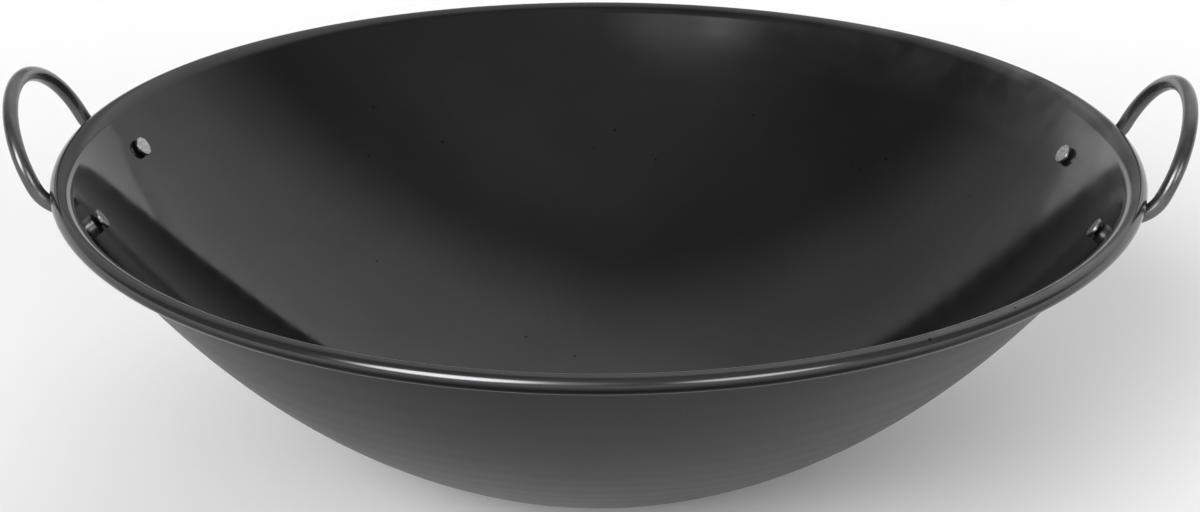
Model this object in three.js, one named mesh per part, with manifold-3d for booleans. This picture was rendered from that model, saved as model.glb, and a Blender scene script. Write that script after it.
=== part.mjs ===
// A large round-bottomed wok of sheet steel with two riveted loop handles. Millimetres, +Z up.
// The origin is under the middle of the bowl, on the surface that it stands on. The handles lie along X.

import * as THREE from "three";
import { mergeVertices } from "three/addons/utils/BufferGeometryUtils.js";
import Module from "manifold-3d";

// Bowl: a pressed dish whose outer face is a small flat and three arcs that flatten out towards the rim.
const SHEET = 1.5;
const RIM_OUTER_D = 560;
const FLAT_D = 44;
const BOTTOM_ARC_R = 199;
const BOTTOM_ARC_END = 25.6; // slope of the dish where the arc ends, in degrees
const FLANK_ARC_R = 365;
const FLANK_ARC_END = 41.5; // slope of the dish where the arc ends, in degrees
const WALL_ARC_R = 430;

// Rolled rim: the wall turns over outwards in a lip, and its edge curls down and round a wire.
const BEAD_D = 9.2;
const LIP_R = 11; // at the middle of the sheet
const LIP_END = 21.5; // slope of the lip where it goes over into the curl, in degrees
const CURL_MOUTH = 0.4; // slit between the edge of the curl and the underside of the lip

// Handles: a loop of round rod that leans out, with a flat foot under the rim at each end.
const ROD_D = 7.2;
const LOOP_WIDTH = 113; // between the middles of the two legs
const LOOP_HEIGHT = 42; // from the elbows to the top of the loop, along the loop
const LOOP_LEAN = 63.5; // angle of the loop from the horizontal, in degrees
const LOOP_STAND_OFF = 2.2; // between the line of the loop and the bead
const ELBOW_R = 18; // bend from the leg into the loop, at the middle of the rod
const FOOT_W = 13;
const FOOT_T = 3.2;
const FOOT_NECK = 8; // from the rivet's middle to the bend where the leg leaves the wall
const FOOT_BEND = 2; // length of that bend on each side of its corner
const FOOT_SQUARENESS = 3; // 1 is an oval section, more fills its corners out

// Rivets: a flat head on a short neck inside the bowl, a shank, and a domed head over the foot.
const RIVET_PITCH = 110.4; // between the two rivets of a handle
const RIVET_BELOW_BEAD = 23.4; // from the middle of the bead, down the wall
const SHANK_D = 4;
const NECK_D = 5.4;
const NECK_H = 1.8; // from the inner wall to the underside of the head
const HEAD_D = 10.6;
const HEAD_T = 1.6;
const HEAD_CHAMFER = 0.4;
const DOME_D = 9;
const DOME_H = 2.2;

const CLEARANCE = 0.3; // between neighbouring pieces

// Facets: how finely the round shapes are divided.
const BOWL_SIDES = 64;
const BOTTOM_STEPS = 5;
const FLANK_STEPS = 3;
const WALL_STEPS = 6;
const LIP_STEPS = 3;
const CURL_STEPS = 14;
const WIRE_SIDES = 8;
const ROD_SIDES = 12;
const FOOT_STEPS = 4;
const LEG_STEPS = 6;
const ELBOW_STEPS = 4;
const LOOP_STEPS = 10; // for each half of the loop
const RIVET_SIDES = 16;
const DOME_STEPS = 3;

const WELD = 1e-4; // corners closer than this are one

const { degToRad, lerp, smoothstep } = THREE.MathUtils;
const wasm = await Module();
wasm.setup();

// A closed three.js geometry as a solid, without the slivers that a turned profile leaves on its axis.
function solidOf(geometry) {
  const bare = geometry.clone();
  bare.deleteAttribute("normal");
  bare.deleteAttribute("uv");
  const merged = mergeVertices(bare, WELD);
  const corners = merged.index.array;
  const kept = [];
  for (let i = 0; i < corners.length; i += 3) {
    const [a, b, c] = corners.slice(i, i + 3);
    if (a !== b && b !== c && c !== a) kept.push(a, b, c);
  }
  const vertProperties = merged.getAttribute("position").array;
  return new wasm.Manifold(new wasm.Mesh({ numProp: 3, vertProperties, triVerts: new Uint32Array(kept) }));
}

function geometryOf(solid) {
  const { vertProperties, triVerts } = solid.getMesh();
  const geometry = new THREE.BufferGeometry();
  geometry.setAttribute("position", new THREE.BufferAttribute(new Float32Array(vertProperties), 3));
  geometry.setIndex(new THREE.BufferAttribute(new Uint32Array(triVerts), 1));
  geometry.computeVertexNormals();
  return geometry;
}

function cut(geometry, cutters) {
  const solid = cutters.reduce((rest, cutter) => rest.subtract(solidOf(cutter)), solidOf(geometry));
  return geometryOf(solid);
}

// Turns a profile of (radius, height) points about Z.
function turned(profile, sides) {
  return new THREE.LatheGeometry(profile, sides).rotateX(Math.PI / 2);
}

// The dish: each stretch of the outer face is an arc between two slopes, starting where the last one ended.
const bottomSlope = degToRad(BOTTOM_ARC_END);
const flankSlope = degToRad(FLANK_ARC_END);

function arcStretch(start, radius, from, to) {
  const at = (slope) =>
    new THREE.Vector2(
      start.x + radius * (Math.sin(slope) - Math.sin(from)),
      start.y + radius * (Math.cos(from) - Math.cos(slope)),
    );
  return { from, to, at, end: at(to) };
}

const bottom = arcStretch(new THREE.Vector2(FLAT_D / 2, 0), BOTTOM_ARC_R, 0, bottomSlope);
const flank = arcStretch(bottom.end, FLANK_ARC_R, bottomSlope, flankSlope);

// The wall rises until the lip, turning down from the wall's slope to its own end slope, carries the bead
// out to its ring. beadRise is how far the bead's middle lies above the top of the wall, along the wall.
const beadR = BEAD_D / 2;
const curlR = beadR - SHEET / 2;
const beadRingR = RIM_OUTER_D / 2 - beadR;
const lipSlope = degToRad(LIP_END);
const lipReach = LIP_R - curlR;
const wallMiddleR = WALL_ARC_R - SHEET / 2;
const wallReach = beadRingR - flank.end.x + WALL_ARC_R * Math.sin(flankSlope);
const rimSlope = Math.asin((wallReach + lipReach * Math.sin(lipSlope)) / (wallMiddleR + LIP_R));
const beadRise = lipReach * Math.sin(rimSlope - lipSlope);
const wall = arcStretch(flank.end, WALL_ARC_R, flankSlope, rimSlope);

const outward = (slope) => new THREE.Vector2(Math.sin(slope), -Math.cos(slope));
const lipMiddle = wall.end.clone().addScaledVector(outward(rimSlope), LIP_R - SHEET / 2);
const beadMiddle = lipMiddle.clone().addScaledVector(outward(lipSlope), -lipReach);

// One face of the sheet, as a depth below its outer face: 0 is the outer face and SHEET the inner one.
function dishFace(depth) {
  const face = (stretch, steps) =>
    Array.from({ length: steps }, (_, i) => {
      const slope = lerp(stretch.from, stretch.to, (i + 1) / steps);
      return stretch.at(slope).addScaledVector(outward(slope), -depth);
    });
  return [
    new THREE.Vector2(0, depth),
    new THREE.Vector2(FLAT_D / 2, depth),
    ...face(bottom, BOTTOM_STEPS),
    ...face(flank, FLANK_STEPS),
    ...face(wall, WALL_STEPS),
  ];
}

// The same face carried on over the lip and round the curl, where the outer face comes to lie inside. The
// curl ends just short of the lip's underside.
const mouthReach = LIP_R - SHEET / 2 - CURL_MOUTH;
const mouthTurn = Math.acos((mouthReach ** 2 - lipReach ** 2 - beadR ** 2) / (2 * lipReach * beadR));

function rimFace(depth) {
  const lift = SHEET / 2 - depth;
  const roll = (middle, radius, from, to, steps) =>
    Array.from({ length: steps }, (_, i) => {
      const slope = lerp(from, to, (i + 1) / steps);
      return middle.clone().addScaledVector(outward(slope), lift - radius);
    });
  const lip = roll(lipMiddle, LIP_R, rimSlope, lipSlope, LIP_STEPS);
  const curl = roll(beadMiddle, curlR, lipSlope, lipSlope + mouthTurn - 2 * Math.PI, CURL_STEPS);
  return [...lip, ...curl];
}

// The wall's outward direction where its slope is that of the rivets, turned about Z.
function wallOut(turn) {
  const level = Math.sin(rivetSlope);
  return new THREE.Vector3(level * Math.cos(turn), level * Math.sin(turn), -Math.cos(rivetSlope));
}

// Where a rivet goes through the wall: the slope there, and the point of the outer face.
const rivetSlope = rimSlope - (RIVET_BELOW_BEAD - beadRise) / wallMiddleR;
const rivetSpot = wall.at(rivetSlope);
const rivetTurn = Math.asin(RIVET_PITCH / 2 / rivetSpot.x);

function rivetFrame(turn) {
  const out = wallOut(turn);
  const place = new THREE.Vector3(rivetSpot.x * Math.cos(turn), rivetSpot.x * Math.sin(turn), rivetSpot.y);
  const inward = out.clone().negate();
  const spin = new THREE.Quaternion().setFromUnitVectors(new THREE.Vector3(0, 0, 1), inward);
  return { place, out, spin };
}

// What a rivet grips: the wall and the foot, with the gaps at its seats. The inner gap also clears the
// wall's facets, round the bowl and up the wall. A drill along the rivet's axis reaches past both faces.
const facetDepth = (radius, turn) => radius * (1 - Math.cos(turn / 2));
const roundDepth = facetDepth(rivetSpot.x, (2 * Math.PI) / BOWL_SIDES);
const seatGap = CLEARANCE + roundDepth + facetDepth(WALL_ARC_R, (rimSlope - flankSlope) / WALL_STEPS);
const footReach = CLEARANCE + FOOT_T + CLEARANCE;

function drill({ place, spin }) {
  const holeR = SHANK_D / 2 + CLEARANCE;
  return new THREE.CylinderGeometry(holeR, holeR, 2 * (SHEET + footReach), RIVET_SIDES)
    .rotateX(Math.PI / 2)
    .applyQuaternion(spin)
    .translate(place.x, place.y, place.z);
}

const rivetFrames = {
  right_rear: rivetFrame(rivetTurn),
  right_front: rivetFrame(-rivetTurn),
  left_rear: rivetFrame(Math.PI - rivetTurn),
  left_front: rivetFrame(Math.PI + rivetTurn),
};

function bowlGeometry() {
  const outerFace = [...dishFace(0), ...rimFace(0)];
  const innerFace = [...dishFace(SHEET), ...rimFace(SHEET)];
  const sheet = turned([...outerFace, ...innerFace.reverse()], BOWL_SIDES);
  return cut(sheet, Object.values(rivetFrames).map(drill));
}

function wireGeometry() {
  const wireR = beadR - SHEET - CLEARANCE;
  const profile = Array.from({ length: WIRE_SIDES + 1 }, (_, i) => {
    const turn = (2 * Math.PI * (i % WIRE_SIDES)) / WIRE_SIDES;
    return new THREE.Vector2(beadMiddle.x + wireR * Math.cos(turn), beadMiddle.y + wireR * Math.sin(turn));
  });
  return turned(profile, BOWL_SIDES);
}

// One half of the right handle's middle line, from the foot's end to the top of the loop, as a list of
// rings. Each ring has its middle, its half width and half thickness, and how flat it was hammered.
const rodR = ROD_D / 2;
const loopHalfW = LOOP_WIDTH / 2;

function ring(middle, flatness) {
  const halfW = lerp(rodR, FOOT_W / 2, flatness);
  const halfT = lerp(rodR, FOOT_T / 2, flatness);
  return { middle, halfW, halfT, flatness };
}

function handleHalf() {
  const { place, out } = rivetFrames.right_rear;
  const lengthways = new THREE.Vector3(Math.cos(rivetSlope) / Math.cos(rivetTurn), 0, Math.sin(rivetSlope));
  const footUp = lengthways.normalize();
  const seat = place.clone().addScaledVector(out, CLEARANCE + FOOT_T / 2);
  const onFoot = (up) => seat.clone().addScaledVector(footUp, up);
  const rings = [];

  // The round end of the foot, about the rivet.
  for (let i = 1; i <= FOOT_STEPS; i++) {
    const turn = (Math.PI / 2) * (i / FOOT_STEPS);
    const end = ring(onFoot((-FOOT_W / 2) * Math.cos(turn)), 1);
    rings.push({ ...end, halfW: end.halfW * Math.sin(turn) });
  }

  // The leg bends away from the wall and runs straight under the bead, just clear of it, to the elbow.
  const bead = new THREE.Vector3(Math.sqrt(beadRingR ** 2 - loopHalfW ** 2), loopHalfW, beadMiddle.y);
  const corner = onFoot(FOOT_NECK);
  const toBead = bead.clone().sub(corner);
  const legOff = beadR + CLEARANCE + rodR;
  const legTurn = Math.atan2(toBead.z, toBead.x) - Math.asin(legOff / Math.hypot(toBead.x, toBead.z));

  // The elbow is an arc that touches the line of the leg and the line of the loop.
  const lean = degToRad(LOOP_LEAN);
  const loopOff = beadR + LOOP_STAND_OFF + rodR;
  const bend = lean - legTurn;
  const elbowAlong = (loopOff - ELBOW_R - (legOff - ELBOW_R) * Math.cos(bend)) / Math.sin(bend);
  const forwards = (turn) => new THREE.Vector3(Math.cos(turn), 0, Math.sin(turn));
  const away = (turn) => new THREE.Vector3(Math.sin(turn), 0, -Math.cos(turn));
  const elbowMiddle = bead
    .addScaledVector(away(legTurn), legOff - ELBOW_R)
    .addScaledVector(forwards(legTurn), elbowAlong);
  const onElbow = (turn) => elbowMiddle.clone().addScaledVector(away(turn), ELBOW_R);

  // The rod goes over from flat to round along the leg.
  const legEnd = onElbow(legTurn);
  const bendEnd = corner.clone().add(legEnd.clone().sub(corner).setLength(FOOT_BEND));
  const leg = new THREE.CurvePath();
  leg.add(new THREE.QuadraticBezierCurve3(onFoot(FOOT_NECK - FOOT_BEND), corner, bendEnd));
  leg.add(new THREE.LineCurve3(bendEnd, legEnd));
  for (let i = 0; i <= LEG_STEPS; i++) {
    const share = i / LEG_STEPS;
    rings.push(ring(leg.getPointAt(share), 1 - smoothstep(share, 0, 1)));
  }
  for (let i = 1; i <= ELBOW_STEPS; i++) {
    rings.push(ring(onElbow(lerp(legTurn, lean, i / ELBOW_STEPS)), 0));
  }

  // A quarter of the loop, which is half an ellipse.
  for (let i = 1; i <= LOOP_STEPS; i++) {
    const turn = (Math.PI / 2) * (i / LOOP_STEPS);
    const middle = onElbow(lean).addScaledVector(forwards(lean), LOOP_HEIGHT * Math.sin(turn));
    rings.push(ring(middle.setY(loopHalfW * Math.cos(turn)), 0));
  }
  return rings;
}

// The corners of one ring, square to the way that the rod runs, which goes from before to after.
function ringCorners({ middle, halfW, halfT, flatness }, before, after) {
  const forward = after.clone().sub(before).normalize();
  const out = wallOut(Math.atan2(middle.y, middle.x));
  out.addScaledVector(forward, -out.dot(forward)).normalize();
  const side = new THREE.Vector3().crossVectors(forward, out);
  const power = 1 / lerp(1, FOOT_SQUARENESS, flatness);
  const fill = (share) => Math.sign(share) * Math.abs(share) ** power;
  return Array.from({ length: ROD_SIDES }, (_, k) => {
    const angle = (2 * Math.PI * k) / ROD_SIDES;
    const across = halfW * fill(Math.cos(angle));
    const deep = halfT * fill(Math.sin(angle));
    return middle.clone().addScaledVector(side, across).addScaledVector(out, deep);
  });
}

// Both halves of the right handle under one skin, with a hole for a rivet in each foot.
function handleGeometry() {
  const half = handleHalf();
  const mirrored = half.slice(0, -1).reverse();
  const otherHalf = mirrored.map((one) => ({ ...one, middle: one.middle.clone().setY(-one.middle.y) }));
  const rings = [...half, ...otherHalf];
  const end = rings.length - 1;
  const corners = rings.flatMap((one, i) =>
    ringCorners(one, rings[Math.max(i - 1, 0)].middle, rings[Math.min(i + 1, end)].middle),
  );

  const faces = [];
  for (let i = 0; i < end; i++) {
    for (let k = 0; k < ROD_SIDES; k++) {
      const a = i * ROD_SIDES + k;
      const b = i * ROD_SIDES + ((k + 1) % ROD_SIDES);
      faces.push(a, b + ROD_SIDES, b);
      faces.push(a, a + ROD_SIDES, b + ROD_SIDES);
    }
  }
  const last = end * ROD_SIDES;
  for (let k = 1; k < ROD_SIDES - 1; k++) {
    faces.push(0, k, k + 1);
    faces.push(last, last + k + 1, last + k);
  }
  const rod = new THREE.BufferGeometry().setFromPoints(corners).setIndex(faces);
  return cut(rod, [drill(rivetFrames.right_rear), drill(rivetFrames.right_front)]);
}

// A rivet stands on the outer face of the wall, its axis pointing into the bowl.
function rivetGeometry() {
  const headFoot = SHEET + NECK_H;
  const headTop = headFoot + HEAD_T;
  const domeFoot = -footReach;
  const dome = Array.from({ length: DOME_STEPS + 1 }, (_, i) => {
    const turn = (Math.PI / 2) * (i / DOME_STEPS);
    return new THREE.Vector2((DOME_D / 2) * Math.sin(turn), domeFoot - DOME_H * Math.cos(turn));
  });
  const profile = [
    ...dome,
    new THREE.Vector2(SHANK_D / 2, domeFoot),
    new THREE.Vector2(SHANK_D / 2, SHEET + seatGap),
    new THREE.Vector2(NECK_D / 2, SHEET + seatGap),
    new THREE.Vector2(NECK_D / 2, headFoot),
    new THREE.Vector2(HEAD_D / 2 - HEAD_CHAMFER / 2, headFoot),
    new THREE.Vector2(HEAD_D / 2, headFoot + HEAD_CHAMFER / 2),
    new THREE.Vector2(HEAD_D / 2, headTop - HEAD_CHAMFER),
    new THREE.Vector2(HEAD_D / 2 - HEAD_CHAMFER, headTop),
    new THREE.Vector2(0, headTop),
  ];
  return turned(profile, RIVET_SIDES);
}

const BLACK_SHEET = { color: 0x303031, roughness: 0.35, metalness: 0.9 };
const BLACK_ROD = { color: 0x4a4b4c, roughness: 0.4, metalness: 0.9 };
const BRIGHT_WIRE = { color: 0x6f7072, roughness: 0.5, metalness: 1 };
const RIVET_STEEL = { color: 0x77787a, roughness: 0.4, metalness: 1 };

const wok = new THREE.Group();

function addPiece(name, geometry, look) {
  const mesh = new THREE.Mesh(geometry, new THREE.MeshStandardMaterial(look));
  mesh.name = name;
  wok.add(mesh);
  return mesh;
}

addPiece("bowl", bowlGeometry(), BLACK_SHEET);
addPiece("rim_wire", wireGeometry(), BRIGHT_WIRE);
addPiece("right_handle", handleGeometry(), BLACK_ROD);
const leftHandle = addPiece("left_handle", handleGeometry(), BLACK_ROD);
leftHandle.rotation.z = Math.PI;
for (const [corner, { place, spin }] of Object.entries(rivetFrames)) {
  const rivet = addPiece(`${corner}_rivet`, rivetGeometry(), RIVET_STEEL);
  rivet.position.copy(place);
  rivet.quaternion.copy(spin);
}

export default wok;
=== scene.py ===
import bpy
import numpy as np
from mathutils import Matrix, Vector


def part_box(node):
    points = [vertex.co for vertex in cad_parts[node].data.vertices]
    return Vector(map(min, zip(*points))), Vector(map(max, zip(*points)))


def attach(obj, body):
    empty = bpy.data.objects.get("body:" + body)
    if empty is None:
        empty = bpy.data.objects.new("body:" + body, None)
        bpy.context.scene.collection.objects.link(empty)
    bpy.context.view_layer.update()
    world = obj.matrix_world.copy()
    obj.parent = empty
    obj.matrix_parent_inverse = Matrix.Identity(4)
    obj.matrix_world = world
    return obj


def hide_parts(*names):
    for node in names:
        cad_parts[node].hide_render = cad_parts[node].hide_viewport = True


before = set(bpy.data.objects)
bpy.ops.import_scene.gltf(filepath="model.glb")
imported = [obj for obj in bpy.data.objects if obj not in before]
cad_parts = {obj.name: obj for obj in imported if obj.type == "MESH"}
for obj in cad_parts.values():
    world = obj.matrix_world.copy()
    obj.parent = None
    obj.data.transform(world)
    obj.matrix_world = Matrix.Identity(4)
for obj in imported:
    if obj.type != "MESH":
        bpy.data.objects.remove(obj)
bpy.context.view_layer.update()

# Bowl
# One round sheet of carbon steel, 1.5 mm thick, pressed to a deep dish with a small flat at the bottom. Its
# edge turns over outwards and curls round a wire to a bead, and the sheet was blackened by heat and oil.
SHEET = 0.0015
RIM_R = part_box("bowl")[1].x
FLAT_R = 0.022
BOTTOM_ARC_R = 0.199
BOTTOM_ARC_END = np.radians(25.6)
FLANK_ARC_R = 0.365
FLANK_ARC_END = np.radians(41.5)
WALL_ARC_R = 0.430
BEAD_R = 0.0046
LIP_R = 0.011
LIP_END = np.radians(21.5)
CURL_MOUTH = 0.0004
SPRING = 0.0016  # how far the sheet has sprung up at the handles and down between them
BOTTOM_POINTS = 24
FLANK_POINTS = 14
WALL_POINTS = 14
LIP_POINTS = 12
CURL_POINTS = 40
BOWL_SIDES = 320


def dish(slope):
    """Outer face of the dish as (radius, height). Each point is given by the slope of the sheet there:
    along an arc the radius grows by R times the change of its sine, the height by R times that of -cosine."""
    low = np.minimum(slope, BOTTOM_ARC_END)
    mid = np.clip(slope, BOTTOM_ARC_END, FLANK_ARC_END)
    high = np.maximum(slope, FLANK_ARC_END)
    radius = FLAT_R + BOTTOM_ARC_R * np.sin(low)
    radius += FLANK_ARC_R * (np.sin(mid) - np.sin(BOTTOM_ARC_END))
    radius += WALL_ARC_R * (np.sin(high) - np.sin(FLANK_ARC_END))
    height = BOTTOM_ARC_R * (1 - np.cos(low))
    height += FLANK_ARC_R * (np.cos(BOTTOM_ARC_END) - np.cos(mid))
    height += WALL_ARC_R * (np.cos(FLANK_ARC_END) - np.cos(high))
    return np.stack([radius, height], -1)


def outward(slope):
    """Unit vector square to the sheet, out of the bowl, in (radius, height): the slope's sine and -cosine."""
    return np.stack([np.sin(slope), -np.cos(slope)], -1)


# The wall rises until the lip, turning down from the wall's slope to its own end slope, carries the bead
# out to its ring. The curl round the wire ends just short of the lip's underside.
curl_r = BEAD_R - SHEET / 2
lip_reach = LIP_R - curl_r
bead_ring_r = RIM_R - BEAD_R
wall_middle_r = WALL_ARC_R - SHEET / 2
wall_reach = bead_ring_r - dish(FLANK_ARC_END)[0] + WALL_ARC_R * np.sin(FLANK_ARC_END)
rim_slope = np.arcsin((wall_reach + lip_reach * np.sin(LIP_END)) / (wall_middle_r + LIP_R))
lip_middle = dish(rim_slope) + outward(rim_slope) * (LIP_R - SHEET / 2)
bead_middle = lip_middle - outward(LIP_END) * lip_reach
mouth_reach = LIP_R - SHEET / 2 - CURL_MOUTH
mouth_turn = np.arccos((mouth_reach ** 2 - lip_reach ** 2 - BEAD_R ** 2) / (2 * lip_reach * BEAD_R))


def sheet_face(depth):
    """One face of the sheet from the axis to the edge of the curl, as (radius, height) points.
    Depth 0 is the outer face of the dish and SHEET the inner one: the dish is shifted by it along its
    normal, and the lip and the curl are arcs whose radii grow by it."""
    slope = np.concatenate([
        np.linspace(0, BOTTOM_ARC_END, BOTTOM_POINTS),
        np.linspace(BOTTOM_ARC_END, FLANK_ARC_END, FLANK_POINTS)[1:],
        np.linspace(FLANK_ARC_END, rim_slope, WALL_POINTS)[1:],
    ])
    lift = SHEET / 2 - depth
    lip = lip_middle + (lift - LIP_R) * outward(np.linspace(rim_slope, LIP_END, LIP_POINTS)[1:])
    curl_slope = np.linspace(LIP_END, LIP_END + mouth_turn - 2 * np.pi, CURL_POINTS)[1:]
    curl = bead_middle + (lift - curl_r) * outward(curl_slope)
    return np.concatenate([[[0, depth]], dish(slope) - depth * outward(slope), lip, curl])


def turned(profile, sides):
    """Surface of a profile turned about Z: point (i, j) is the profile's point i at j whole shares of a turn.
    The profile starts and ends on the axis, where each end is one point. Returns points and faces."""
    turn = np.linspace(0, 2 * np.pi, sides, endpoint=False)
    rings = profile[1:-1]
    x = rings[:, :1] * np.cos(turn)
    y = rings[:, :1] * np.sin(turn)
    z = np.broadcast_to(rings[:, 1:], x.shape)
    points = np.stack([x, y, z], -1).reshape(-1, 3)
    ends = np.array([[0, 0, profile[0, 1]], [0, 0, profile[-1, 1]]])
    here = np.arange(sides)
    there = (here + 1) % sides
    row = np.arange(len(rings) - 1)[:, None] * sides
    quads = np.stack([row + here, row + there, row + there + sides, row + here + sides], -1).reshape(-1, 4)
    first = len(points)
    last = first + 1
    top = (len(rings) - 1) * sides
    first_fan = np.stack([np.full(sides, first), there, here], -1)
    last_fan = np.stack([np.full(sides, last), top + here, top + there], -1)
    faces = quads.tolist() + first_fan.tolist() + last_fan.tolist()
    return np.concatenate([points, ends]), faces


def sprung(points):
    """Points lifted as the sheet has sprung out of round: by SPRING times (x squared - y squared) over the
    rim's radius squared, so that the two ends with the handles stand a little higher. The flat stays flat."""
    x, y, z = points.T
    bent = 1 - FLAT_R ** 2 / np.maximum(x * x + y * y, FLAT_R ** 2)
    return np.stack([x, y, z + bent * SPRING * (x * x - y * y) / RIM_R ** 2], -1)


def add_piece(name, points, faces, material):
    """A smooth-shaded mesh object at the origin, with its place in its points."""
    mesh = bpy.data.meshes.new(name)
    mesh.from_pydata(points.tolist(), [], faces)
    mesh.polygons.foreach_set("use_smooth", np.ones(len(mesh.polygons), bool))
    mesh.materials.append(material)
    mesh.update()
    piece = bpy.data.objects.new(name, mesh)
    bpy.context.scene.collection.objects.link(piece)
    return piece


def linear(hex_colour):
    """Linear colour with alpha of an sRGB hex colour such as "8a8a8a"."""
    srgb = np.array([int(hex_colour[i:i + 2], 16) for i in (0, 2, 4)]) / 255
    return (*np.where(srgb <= 0.04045, srgb / 12.92, ((srgb + 0.055) / 1.055) ** 2.4), 1)


def new_material(name):
    """A material with nodes on, its node tree and its Principled shader."""
    material = bpy.data.materials.new(name)
    material.use_nodes = True
    return material, material.node_tree, material.node_tree.nodes["Principled BSDF"]


def add_node(tree, kind, output, inputs=(), **settings):
    """Adds a node with its own settings, and returns one of its outputs. Inputs pair a socket with a value,
    or with another node's output to link to it. Sockets go by their identifiers."""
    node = tree.nodes.new("ShaderNode" + kind)
    for key, value in settings.items():
        setattr(node, key, value)
    sockets = {socket.identifier: socket for socket in node.inputs}
    for name, value in dict(inputs).items():
        if isinstance(value, bpy.types.NodeSocket):
            tree.links.new(value, sockets[name])
        else:
            sockets[name].default_value = value
    return next(socket for socket in node.outputs if socket.identifier == output)


# Blackened carbon steel: black oxide under a baked film of oil, which mirrors softly. The pressed sheet is a
# little wavy, shows faint rings from the press and has small dark specks. By the right handle the film is
# hazy and smeared, the top of the bead is rubbed, and the outside, with no film, is matt.
OIL_CLOUD = 0.11
WAVE = 0.075
WAVE_DEPTH = 0.00030
DIMPLE = 0.022
DIMPLE_DEPTH = 0.000035
RING_PITCH = 0.011
RING_DEPTH = 0.0000025
WAVE_TEXTURE_TURN = 20  # radians that a wave texture of scale 1 turns through in a metre
GRAIN = 0.0012  # the oxide's own grain, near 0.1 mm, is too fine to show
GRAIN_DEPTH = 0.0000020
SPECK_SPACING = 0.022
SPECK_R = 0.00099
SPECK_CORE_R = 0.00044
SMEAR = 0.03
SMEAR_STARTS_INSIDE_BEAD = 0.026
SMEAR_FULL_INSIDE_BEAD = 0.008
HAZE_STARTS_X = 0.05
HAZE_FULL_X = 0.22
WORN_FULL_OUTSIDE_RING = 0.6 * BEAD_R
WORN_STARTS_Z = bead_middle[1] - 0.0025
WORN_FULL_Z = bead_middle[1] - 0.0005
blackened_steel, tree, shader = new_material("blackened carbon steel")
place = add_node(tree, "TexCoord", "Object")
along_x = add_node(tree, "SeparateXYZ", "X", {"Vector": place})
along_z = add_node(tree, "SeparateXYZ", "Z", {"Vector": place})
across = add_node(tree, "VectorMath", "Vector", {
    "Vector": place, "Vector_001": (1, 1, 0),
}, operation="MULTIPLY")
from_axis = add_node(tree, "VectorMath", "Value", {"Vector": across}, operation="LENGTH")

oil = add_node(tree, "TexNoise", "Fac", {"Vector": place, "Scale": 1 / OIL_CLOUD, "Detail": 3})
cloud = add_node(tree, "MapRange", "Result", {"Value": oil, "From Min": 0.35, "From Max": 0.65})
grain = add_node(tree, "TexNoise", "Fac", {"Vector": place, "Scale": 1 / GRAIN})
pale_grain = add_node(tree, "MapRange", "Result", {
    "Value": grain, "From Min": 0.3, "From Max": 0.7, "To Max": 0.3,
})
rings = add_node(tree, "TexWave", "Fac", {
    "Vector": place,
    "Scale": 2 * np.pi / (WAVE_TEXTURE_TURN * RING_PITCH),
    "Distortion": 1.5,
    "Detail Scale": 0.4,
}, wave_type="RINGS", rings_direction="Z")
wave = add_node(tree, "TexNoise", "Fac", {"Vector": place, "Scale": 1 / WAVE, "Detail": 1})
dimple = add_node(tree, "TexNoise", "Fac", {"Vector": place, "Scale": 1 / DIMPLE, "Detail": 1})
from_speck = add_node(tree, "TexVoronoi", "Distance", {"Vector": place, "Scale": 1 / SPECK_SPACING})
speck = add_node(tree, "MapRange", "Result", {
    "Value": from_speck,
    "From Min": SPECK_CORE_R / SPECK_SPACING,
    "From Max": SPECK_R / SPECK_SPACING,
    "To Min": 0.85,
    "To Max": 0,
})

by_hand = add_node(tree, "MapRange", "Result", {
    "Value": along_x, "From Min": HAZE_STARTS_X, "From Max": HAZE_FULL_X,
})
by_rim = add_node(tree, "MapRange", "Result", {
    "Value": from_axis,
    "From Min": bead_ring_r - SMEAR_STARTS_INSIDE_BEAD,
    "From Max": bead_ring_r - SMEAR_FULL_INSIDE_BEAD,
})
wiped = add_node(tree, "TexNoise", "Fac", {"Vector": place, "Scale": 1 / SMEAR, "Detail": 4})
smear = add_node(tree, "MapRange", "Result", {
    "Value": wiped, "From Min": 0.36, "From Max": 0.62, "To Min": 0.15, "To Max": 0.8,
})
for share in (by_rim, by_hand):
    smear = add_node(tree, "Math", "Value", {"Value": smear, "Value_001": share}, operation="MULTIPLY")

rubbed_out = add_node(tree, "MapRange", "Result", {
    "Value": from_axis, "From Min": bead_ring_r, "From Max": bead_ring_r + WORN_FULL_OUTSIDE_RING,
})
rubbed_up = add_node(tree, "MapRange", "Result", {
    "Value": along_z, "From Min": WORN_STARTS_Z, "From Max": WORN_FULL_Z,
})
worn = add_node(tree, "Math", "Value", {"Value": rubbed_out, "Value_001": rubbed_up}, operation="MULTIPLY")
outside = add_node(tree, "Attribute", "Fac", attribute_name="outside")
# share of painted shade on the lower half of the bead
painted_shade = add_node(tree, "Attribute", "Fac", attribute_name="painted_shade")

# Each colour lies over the ones before it, as far as its share. The outside has its own cloud and grain.
outer_steel = linear("2b2b2c")
for share, colour in ((cloud, "343435"), (pale_grain, "3c3c3d")):
    outer_steel = add_node(tree, "Mix", "Result_Color", {
        "Factor_Float": share, "A_Color": outer_steel, "B_Color": linear(colour),
    }, data_type="RGBA")
coats = (
    (cloud, linear("3c3c3d")),
    (pale_grain, linear("464647")),
    (smear, linear("606061")),
    (outside, outer_steel),
    (worn, linear("505051")),
    # painted shade: the lower half of the bead is darkened to near black
    (painted_shade, linear("121213")),
    (speck, linear("0e0e0e")),
)
steel = linear("343435")
for share, colour in coats:
    steel = add_node(tree, "Mix", "Result_Color", {
        "Factor_Float": share, "A_Color": steel, "B_Color": colour,
    }, data_type="RGBA")
tree.links.new(steel, shader.inputs["Base Color"])

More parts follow.
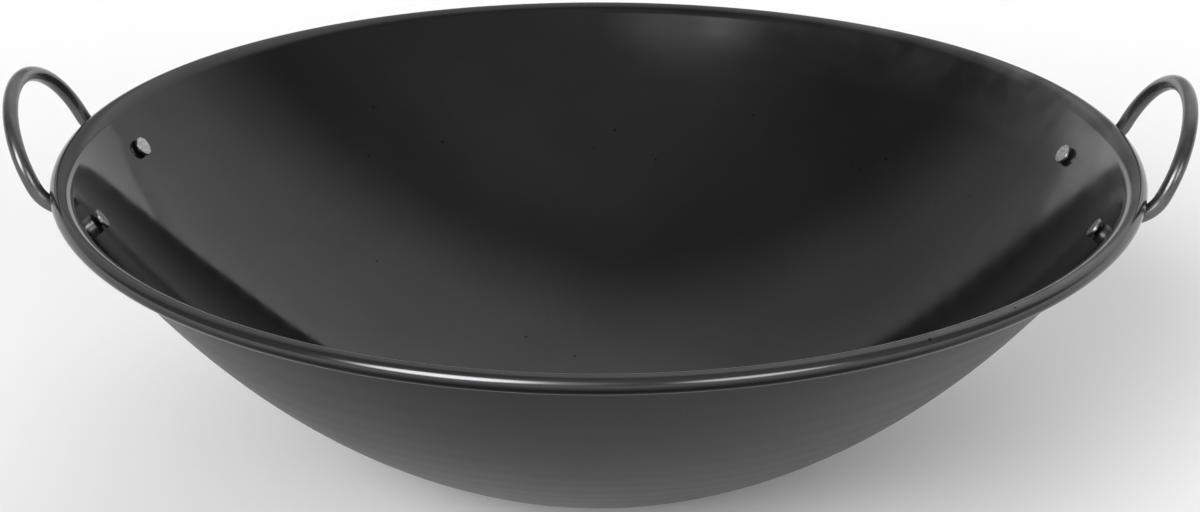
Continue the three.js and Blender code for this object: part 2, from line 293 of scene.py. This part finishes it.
# Roughness: what each share adds on the outside and on the inside, then the places that have their own.
matt = 0.34
for share, added in ((cloud, 0.06), (rings, 0.02)):
    matt = add_node(tree, "Math", "Value", {
        "Value": share, "Value_001": added, "Value_002": matt,
    }, operation="MULTIPLY_ADD")
roughness = 0.05
for share, added in ((cloud, 0.04), (rings, 0.02), (smear, 0.045), (by_hand, 0.045)):
    roughness = add_node(tree, "Math", "Value", {
        "Value": share, "Value_001": added, "Value_002": roughness,
    }, operation="MULTIPLY_ADD")
for share, other in ((worn, 0.15), (outside, matt)):
    roughness = add_node(tree, "MapRange", "Result", {"Value": share, "To Min": roughness, "To Max": other})
tree.links.new(roughness, shader.inputs["Roughness"])

# Relief, from the widest waves to the finest grain, each on the normal of the one before it.
under = {}
for height, depth in ((wave, WAVE_DEPTH), (dimple, DIMPLE_DEPTH), (rings, RING_DEPTH), (grain, GRAIN_DEPTH)):
    normal = add_node(tree, "Bump", "Normal", {"Height": height, "Distance": depth, **under})
    under = {"Normal": normal}
tree.links.new(normal, shader.inputs["Normal"])
shader.inputs["Metallic"].default_value = 0.86
shader.inputs["Specular Tint"].default_value = linear("f4f4f4")

# Two attributes go with the profile's points: the outer face of the sheet, and the lower half of the bead,
# where a near black colour is painted in as shade, fading in over a band about the bead's middle.
PAINTED_SHADE_BAND = 0.6 * BEAD_R
outer_face = sheet_face(0)
profile = np.concatenate([outer_face, sheet_face(SHEET)[::-1]])
points, faces = turned(profile, BOWL_SIDES)
bowl = add_piece("black_steel_bowl", sprung(points), faces, blackened_steel)
is_outside = (np.arange(len(profile)) < len(outer_face)).astype(float)
on_bead = (1 - is_outside) * (profile[:, 0] > bead_ring_r - BEAD_R / 2)
below_bead = bead_middle[1] - profile[:, 1]
is_painted_shade = on_bead * np.clip(below_bead / PAINTED_SHADE_BAND + 0.5, 0, 1)
for name, share in (("outside", is_outside), ("painted_shade", is_painted_shade)):
    value = np.concatenate([np.repeat(share[1:-1], BOWL_SIDES), share[[0, -1]]])
    bowl.data.attributes.new(name, "FLOAT", "POINT").data.foreach_set("value", value)
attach(bowl, "root")
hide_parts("bowl")

# Rim wire
# A ring of bright drawn steel wire that the edge of the sheet is curled round, which keeps the rim stiff.
# It lies inside the bead, where only the slit under the curl lets it be seen.
WIRE_R = 0.0028
WIRE_CORNERS = 16


def wire_ring(sides, corners):
    """A round wire bent to a ring: point (i, j) lies at i whole shares of a turn about Z, and at j whole
    shares of a turn about the bead's middle line. Both ways round it closes on itself."""
    turn = np.linspace(0, 2 * np.pi, sides, endpoint=False)[:, None]
    angle = np.linspace(0, 2 * np.pi, corners, endpoint=False)
    radius = bead_middle[0] + WIRE_R * np.cos(angle)
    z = np.broadcast_to(bead_middle[1] + WIRE_R * np.sin(angle), (sides, corners))
    points = np.stack([radius * np.cos(turn), radius * np.sin(turn), z], -1).reshape(-1, 3)
    row = np.arange(sides)[:, None] * corners
    after = (row + corners) % (sides * corners)
    here = np.arange(corners)
    there = (here + 1) % corners
    faces = np.stack([row + here, after + here, after + there, row + there], -1).reshape(-1, 4)
    return points, faces.tolist()


# Bright drawn steel: pale grey metal, finely mottled where the die has dulled it.
DRAWN_MOTTLE = 0.0006
drawn_wire, tree, shader = new_material("bright drawn steel wire")
place = add_node(tree, "TexCoord", "Object")
mottle = add_node(tree, "TexNoise", "Fac", {"Vector": place, "Scale": 1 / DRAWN_MOTTLE})
steel = add_node(tree, "Mix", "Result_Color", {
    "Factor_Float": mottle, "A_Color": linear("8f9092"), "B_Color": linear("b4b5b7"),
}, data_type="RGBA")
tree.links.new(steel, shader.inputs["Base Color"])
roughness = add_node(tree, "MapRange", "Result", {
    "Value": mottle, "From Min": 0.3, "From Max": 0.7, "To Min": 0.3, "To Max": 0.45,
})
tree.links.new(roughness, shader.inputs["Roughness"])
shader.inputs["Metallic"].default_value = 1
points, faces = wire_ring(BOWL_SIDES, WIRE_CORNERS)
wire = add_piece("drawn_rim_wire", sprung(points), faces, drawn_wire)
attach(wire, "root")
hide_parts("rim_wire")

# Handles
# Each is one length of round steel rod, bent to a loop that leans out over the rim. Its two ends are
# hammered flat, lie on the wall under the bead and are riveted through it.
ROD_R = 0.0039
LOOP_HALF_W = 0.0565
LOOP_HEIGHT = 0.042
LOOP_LEAN = np.radians(63.5)
LOOP_STAND_OFF = 0.0022
ELBOW_R = 0.018
FOOT_W = 0.013
FOOT_T = 0.0032
FOOT_NECK = 0.008
FOOT_BEND = 0.002
FOOT_SQUARENESS = 3
RIVET_PITCH = 0.1104
RIVET_BELOW_BEAD = 0.0245
CLEARANCE = 0.0003
FOOT_END_START = 0.04  # share of the foot's round end that its blunt tip cuts off
FOOT_END_POINTS = 14
FOOT_POINTS = 10
FOOT_BEND_POINTS = 10
LEG_POINTS = 12
ELBOW_POINTS = 24
LOOP_POINTS = 70
ROD_SIDES = 36

bead_rise = lip_reach * np.sin(rim_slope - LIP_END)
rivet_slope = rim_slope - (RIVET_BELOW_BEAD - bead_rise) / wall_middle_r
rivet_ring_r, rivet_z = dish(rivet_slope)
rivet_turn = np.arcsin(RIVET_PITCH / 2 / rivet_ring_r)


def wall_out(turn):
    """Unit vector out of the wall at the height of the rivets, at an angle about Z: the level part of the
    outward vector there goes to X and Y by the angle's cosine and sine, and its fall stays in Z."""
    level, fall = outward(rivet_slope)
    return np.stack([level * np.cos(turn), level * np.sin(turn), np.full_like(turn, fall)], -1)


def handle_half():
    """Middle line of the rear half of the right handle, from the foot's tip to the top of the loop, with how
    flat the section is there and what share of its width it has. The foot is straight, with a round end about
    its rivet. The leg bends off the wall and passes under the bead at a set gap, the elbow is an arc that
    touches leg and loop, and the loop is half an ellipse."""
    foot_up = np.array([np.cos(rivet_slope) / np.cos(rivet_turn), 0, np.sin(rivet_slope)])
    foot_up /= np.linalg.norm(foot_up)
    place = np.array([rivet_ring_r * np.cos(rivet_turn), rivet_ring_r * np.sin(rivet_turn), rivet_z])
    seat = place + wall_out(rivet_turn) * (CLEARANCE + FOOT_T / 2)
    end_turn = np.linspace(FOOT_END_START, 1, FOOT_END_POINTS) * np.pi / 2
    end = seat - np.cos(end_turn)[:, None] * foot_up * FOOT_W / 2
    foot = seat + np.linspace(0, FOOT_NECK - FOOT_BEND, FOOT_POINTS)[1:, None] * foot_up

    bead = np.array([np.sqrt(bead_ring_r ** 2 - LOOP_HALF_W ** 2), LOOP_HALF_W, bead_middle[1]])
    corner = seat + FOOT_NECK * foot_up
    to_bead = bead - corner
    leg_off = BEAD_R + CLEARANCE + ROD_R
    leg_turn = np.arctan2(to_bead[2], to_bead[0]) - np.arcsin(leg_off / np.hypot(to_bead[0], to_bead[2]))
    loop_off = BEAD_R + LOOP_STAND_OFF + ROD_R
    bend = LOOP_LEAN - leg_turn
    elbow_along = (loop_off - ELBOW_R - (leg_off - ELBOW_R) * np.cos(bend)) / np.sin(bend)
    level = np.array([1, 0, 0])
    up = np.array([0, 0, 1])
    forwards = np.cos(leg_turn) * level + np.sin(leg_turn) * up
    away = np.sin(leg_turn) * level - np.cos(leg_turn) * up
    elbow_middle = bead + away * (leg_off - ELBOW_R) + forwards * elbow_along
    turn = np.linspace(leg_turn, LOOP_LEAN, ELBOW_POINTS)[:, None]
    elbow = elbow_middle + ELBOW_R * (np.sin(turn) * level - np.cos(turn) * up)

    bend_start = seat + (FOOT_NECK - FOOT_BEND) * foot_up
    to_elbow = elbow[0] - corner
    bend_end = corner + to_elbow * FOOT_BEND / np.linalg.norm(to_elbow)
    share = np.linspace(0, 1, FOOT_BEND_POINTS)[1:, None]
    foot_bend = (1 - share) ** 2 * bend_start + 2 * share * (1 - share) * corner + share ** 2 * bend_end
    leg = bend_end + np.linspace(0, 1, LEG_POINTS)[1:-1, None] * (elbow[0] - bend_end)

    arch_turn = np.linspace(0, np.pi / 2, LOOP_POINTS)[1:, None]
    arch = elbow[-1] + LOOP_HEIGHT * np.sin(arch_turn) * (np.cos(LOOP_LEAN) * level + np.sin(LOOP_LEAN) * up)
    arch[:, 1] = LOOP_HALF_W * np.cos(arch_turn[:, 0])

    line = np.concatenate([end, foot, foot_bend, leg, elbow, arch])
    length = np.concatenate([[0], np.cumsum(np.linalg.norm(np.diff(line, axis=0), axis=1))])
    flat_to = len(end) + len(foot) - 1
    round_from = len(end) + len(foot) + len(foot_bend) + len(leg)
    share = np.clip((length - length[flat_to]) / (length[round_from] - length[flat_to]), 0, 1)
    flatness = 1 - share * share * (3 - 2 * share)
    narrowing = np.ones(len(line))
    narrowing[:len(end)] = np.sin(end_turn)
    return line, flatness, narrowing


def handle(side):
    """Skin of a whole handle: a flattened round carried along the middle line, square to it, closed at its
    ends. Across and deep are powers of cosine and sine, which square the section up where it is flat."""
    line, flatness, narrowing = handle_half()
    line = np.concatenate([line, line[-2::-1] * [1, -1, 1]])
    flatness = np.concatenate([flatness, flatness[-2::-1]])[:, None]
    narrowing = np.concatenate([narrowing, narrowing[-2::-1]])[:, None]
    forward = np.gradient(line, axis=0)
    forward /= np.linalg.norm(forward, axis=1, keepdims=True)
    out = wall_out(np.arctan2(line[:, 1], line[:, 0]))
    out -= forward * np.sum(out * forward, axis=1, keepdims=True)
    out /= np.linalg.norm(out, axis=1, keepdims=True)
    across = np.cross(forward, out)
    angle = np.linspace(0, 2 * np.pi, ROD_SIDES, endpoint=False)
    power = 1 / (1 + (FOOT_SQUARENESS - 1) * flatness)
    wide = np.sign(np.cos(angle)) * np.abs(np.cos(angle)) ** power
    deep = np.sign(np.sin(angle)) * np.abs(np.sin(angle)) ** power
    half_w = (ROD_R + (FOOT_W / 2 - ROD_R) * flatness) * narrowing
    half_t = ROD_R + (FOOT_T / 2 - ROD_R) * flatness
    points = line[:, None] + (half_w * wide)[..., None] * across[:, None]
    points = points + (half_t * deep)[..., None] * out[:, None]
    points = points.reshape(-1, 3) * [side, side, 1]
    here = np.arange(ROD_SIDES)
    there = (here + 1) % ROD_SIDES
    row = np.arange(len(line) - 1)[:, None] * ROD_SIDES
    after = row + ROD_SIDES
    quads = np.stack([row + here, after + here, after + there, row + there], -1).reshape(-1, 4)
    last = (len(line) - 1) * ROD_SIDES
    return points, quads.tolist() + [here.tolist(), (last + here[::-1]).tolist()]


# Blackened steel rod: the same dark oxide over a drawn, satin surface, uneven where it was bent and held.
ROD_CLOUD = 0.014
ROD_CLOUD_DEPTH = 0.00006
ROD_GRAIN = 0.0009  # coarser than the real grain, which is too fine to show
ROD_GRAIN_DEPTH = 0.000006
blackened_rod, tree, shader = new_material("blackened steel rod")
place = add_node(tree, "TexCoord", "Object")
oxide = add_node(tree, "TexNoise", "Fac", {"Vector": place, "Scale": 1 / ROD_CLOUD, "Detail": 3})
cloud = add_node(tree, "MapRange", "Result", {"Value": oxide, "From Min": 0.35, "From Max": 0.65})
grain = add_node(tree, "TexNoise", "Fac", {"Vector": place, "Scale": 1 / ROD_GRAIN})
pale_grain = add_node(tree, "MapRange", "Result", {
    "Value": grain, "From Min": 0.3, "From Max": 0.7, "To Max": 0.4,
})
steel = linear("4c4c4d")
for share, colour in ((cloud, "5e5e5f"), (pale_grain, "707071")):
    steel = add_node(tree, "Mix", "Result_Color", {
        "Factor_Float": share, "A_Color": steel, "B_Color": linear(colour),
    }, data_type="RGBA")
tree.links.new(steel, shader.inputs["Base Color"])
roughness = add_node(tree, "MapRange", "Result", {"Value": cloud, "To Min": 0.2, "To Max": 0.28})
tree.links.new(roughness, shader.inputs["Roughness"])
uneven = add_node(tree, "TexNoise", "Fac", {"Vector": place, "Scale": 1 / ROD_CLOUD, "Detail": 1})
normal = add_node(tree, "Bump", "Normal", {"Height": uneven, "Distance": ROD_CLOUD_DEPTH})
normal = add_node(tree, "Bump", "Normal", {"Height": grain, "Distance": ROD_GRAIN_DEPTH, "Normal": normal})
tree.links.new(normal, shader.inputs["Normal"])
shader.inputs["Metallic"].default_value = 0.8
for name, side in (("left_handle", -1), ("right_handle", 1)):
    points, faces = handle(side)
    piece = add_piece(name.replace("handle", "rod_handle"), sprung(points), faces, blackened_rod)
    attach(piece, "root")
    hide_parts(name)

# Rivets
# Four shoulder rivets of plain steel, two to a handle. The flat head stands on its neck inside the bowl,
# and the end of the shank is set to a dome over the handle's foot outside.
SHANK_R = 0.002
NECK_R = 0.0027
NECK_H = 0.0013
HEAD_R = 0.0053
HEAD_T = 0.0016
HEAD_TOP_EDGE_R = 0.0004
HEAD_LOWER_EDGE_R = 0.0002
HEAD_FACE_RINGS = (0.7, 0.3)  # shares of the head's radius, where rings keep its face flat
DOME_R = 0.0045
DOME_H = 0.0022
DOME_POINTS = 14
EDGE_POINTS = 6
RIVET_SIDES = 48


def rivet(turn):
    """A rivet's profile turned about its axis, then stood square on the wall at an angle about Z.
    Height 0 is the outer face of the wall, and the axis points into the bowl. The dome is a quarter of an
    ellipse, and the head's edges are quarter circles."""
    head_foot = SHEET + NECK_H
    head_top = head_foot + HEAD_T
    foot_reach = CLEARANCE + FOOT_T
    dome_turn = np.linspace(0, np.pi / 2, DOME_POINTS)
    dome = np.stack([DOME_R * np.sin(dome_turn), -foot_reach - DOME_H * np.cos(dome_turn)], -1)
    edge_turn = np.linspace(0, np.pi / 2, EDGE_POINTS)
    lower_r = HEAD_R - HEAD_LOWER_EDGE_R * (1 - np.sin(edge_turn))
    lower_z = head_foot + HEAD_LOWER_EDGE_R * (1 - np.cos(edge_turn))
    upper_r = HEAD_R - HEAD_TOP_EDGE_R * (1 - np.cos(edge_turn))
    upper_z = head_top - HEAD_TOP_EDGE_R * (1 - np.sin(edge_turn))
    profile = np.concatenate([
        dome,
        [[SHANK_R, -foot_reach], [SHANK_R, SHEET], [NECK_R, SHEET], [NECK_R, head_foot]],
        np.stack([lower_r, lower_z], -1),
        np.stack([upper_r, upper_z], -1),
        [[HEAD_R * share, head_top] for share in (*HEAD_FACE_RINGS, 0)],
    ])
    points, faces = turned(profile, RIVET_SIDES)
    axis = -wall_out(turn)
    side = np.array([-np.sin(turn), np.cos(turn), 0])
    third = np.cross(axis, side)
    place = np.array([rivet_ring_r * np.cos(turn), rivet_ring_r * np.sin(turn), rivet_z])
    return place + points @ np.stack([side, third, axis]), faces


# Plain rivet steel: bright, dulled by handling, with the mottled face that striking leaves on a head.
STRUCK_MOTTLE = 0.0013
STRUCK_DEPTH = 0.00003
rivet_steel, tree, shader = new_material("dull bright rivet steel")
place = add_node(tree, "TexCoord", "Object")
struck = add_node(tree, "TexNoise", "Fac", {"Vector": place, "Scale": 1 / STRUCK_MOTTLE, "Detail": 3})
mottle = add_node(tree, "MapRange", "Result", {"Value": struck, "From Min": 0.35, "From Max": 0.65})
steel = add_node(tree, "Mix", "Result_Color", {
    "Factor_Float": mottle, "A_Color": linear("848586"), "B_Color": linear("b8b9ba"),
}, data_type="RGBA")
tree.links.new(steel, shader.inputs["Base Color"])
roughness = add_node(tree, "MapRange", "Result", {"Value": mottle, "To Min": 0.42, "To Max": 0.28})
tree.links.new(roughness, shader.inputs["Roughness"])
normal = add_node(tree, "Bump", "Normal", {"Height": mottle, "Distance": STRUCK_DEPTH})
tree.links.new(normal, shader.inputs["Normal"])
shader.inputs["Metallic"].default_value = 1
rivets = {
    "right_rear_rivet": rivet_turn,
    "right_front_rivet": -rivet_turn,
    "left_rear_rivet": np.pi - rivet_turn,
    "left_front_rivet": np.pi + rivet_turn,
}
for name, turn in rivets.items():
    points, faces = rivet(turn)
    piece = add_piece(name.replace("rivet", "shoulder_rivet"), sprung(points), faces, rivet_steel)
    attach(piece, "root")
    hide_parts(name)

# Floor
# A wide sheet of white paper laid as a studio floor. It is level about the wok, where it takes the soft
# shadow, and curves up far away on all sides, so that no edge of it shows.
LEVEL_R = 3.0
FLOOR_HALF = 9.0
FLOOR_RISE = 1.4
FLOOR_POINTS = 121


def paper_floor(steps):
    """A square grid of points (x, y). The height is FLOOR_RISE times the square of the share of the way that
    a point's distance from the middle has gone from LEVEL_R to FLOOR_HALF, and 0 inside LEVEL_R."""
    x, y = np.meshgrid(*[np.linspace(-FLOOR_HALF, FLOOR_HALF, steps)] * 2)
    share = np.maximum(np.hypot(x, y) - LEVEL_R, 0) / (FLOOR_HALF - LEVEL_R)
    points = np.stack([x, y, FLOOR_RISE * share ** 2], -1).reshape(-1, 3)
    corner = (np.arange(steps - 1)[:, None] * steps + np.arange(steps - 1)).reshape(-1)
    return points, np.stack([corner, corner + 1, corner + steps + 1, corner + steps], -1).tolist()


# White paper: matt, with a barely seen cloudiness.
PAPER_MOTTLE = 0.4
white_paper, tree, shader = new_material("white paper")
place = add_node(tree, "TexCoord", "Object")
mottle = add_node(tree, "TexNoise", "Fac", {"Vector": place, "Scale": 1 / PAPER_MOTTLE})
paper = add_node(tree, "Mix", "Result_Color", {
    "Factor_Float": mottle, "A_Color": linear("f8f8f8"), "B_Color": linear("fcfcfc"),
}, data_type="RGBA")
tree.links.new(paper, shader.inputs["Base Color"])
shader.inputs["Roughness"].default_value = 0.9
points, faces = paper_floor(FLOOR_POINTS)
floor = add_piece("floor", points, faces, white_paper)

# Light
# A dim grey studio with large soft lamps round the wok. Each lamp is given by the way to its middle from the
# bowl, in degrees from +X about Z and up from level, by how far from its middle, in degrees, it is full and
# how far out it has faded away, and by its brightness.
FILL = 0.13
LAMP_FOOT = 0.25  # sine of the elevation below which the studio darkens towards its floor
LOW_SHARE = 0.1
lamps = {
    "left front": (-120, 29.5, 10.5, 20.5, 9.5),
    "left front, wide": (-111, 30, 3, 28, 1.6),
    "right front": (-57, 20, 6, 18, 6.0),
    "front": (-77, 25, 41, 72, 0.18),
    "right back": (67, 40, 1, 52, 0.57),
    "back": (86, 21, 50, 72, 0.46),
}
flag = (90, 14, 12, 24, 0.5)  # a dark screen low behind the wok, and the share of the light it stops
world = bpy.data.worlds.new("studio")
bpy.context.scene.world = world
world.use_nodes = True
tree = world.node_tree
way = add_node(tree, "TexCoord", "Generated")


def patch(azimuth, elevation, full, faded, value):
    """A round soft patch of the sky: the value within full degrees of its middle, 0 beyond faded degrees, and
    eased between them along the cosine of the angle from its middle."""
    turn, rise, full, faded = np.radians([azimuth, elevation, full, faded])
    middle = (np.cos(rise) * np.cos(turn), np.cos(rise) * np.sin(turn), np.sin(rise))
    near = add_node(tree, "VectorMath", "Value", {
        "Vector": way, "Vector_001": middle,
    }, operation="DOT_PRODUCT")
    return add_node(tree, "MapRange", "Result", {
        "Value": near, "From Min": np.cos(faded), "From Max": np.cos(full), "To Max": value,
    }, interpolation_type="SMOOTHSTEP")


glow = FILL
for lamp in lamps.values():
    glow = add_node(tree, "Math", "Value", {"Value": patch(*lamp), "Value_001": glow})
past_flag = add_node(tree, "Math", "Value", {"Value": 1, "Value_001": patch(*flag)}, operation="SUBTRACT")
rise = add_node(tree, "SeparateXYZ", "Z", {"Vector": way})
above_foot = add_node(tree, "MapRange", "Result", {"Value": rise, "From Max": LAMP_FOOT, "To Min": LOW_SHARE})
for share in (past_flag, above_foot):
    glow = add_node(tree, "Math", "Value", {"Value": glow, "Value_001": share}, operation="MULTIPLY")
tree.nodes["Background"].inputs["Color"].default_value = linear("ffffff")
tree.links.new(glow, tree.nodes["Background"].inputs["Strength"])

# Camera
# It looks down into the bowl from in front, a little to the right of the middle.
IMAGE_WIDTH = 1200
FOCAL_PX = 2578
ELEVATION = np.radians(19.74)
AZIMUTH = np.radians(1.42)
DISTANCE = 1.34
TILT = np.radians(2.30)
PAN = np.radians(0.03)
AIM_HEIGHT = 0.1701
lens = bpy.data.cameras.new("camera")
lens.lens = lens.sensor_width * FOCAL_PX / IMAGE_WIDTH
camera = bpy.data.objects.new("camera", lens)
away = DISTANCE * np.cos(ELEVATION)
camera_height = AIM_HEIGHT + DISTANCE * np.sin(ELEVATION)
camera.location = (away * np.sin(AZIMUTH), -away * np.cos(AZIMUTH), camera_height)
camera.rotation_euler = (np.pi / 2 - ELEVATION - TILT, 0, AZIMUTH - PAN)
bpy.context.scene.collection.objects.link(camera)
bpy.context.scene.camera = camera
bpy.context.scene.view_settings.view_transform = "Standard"
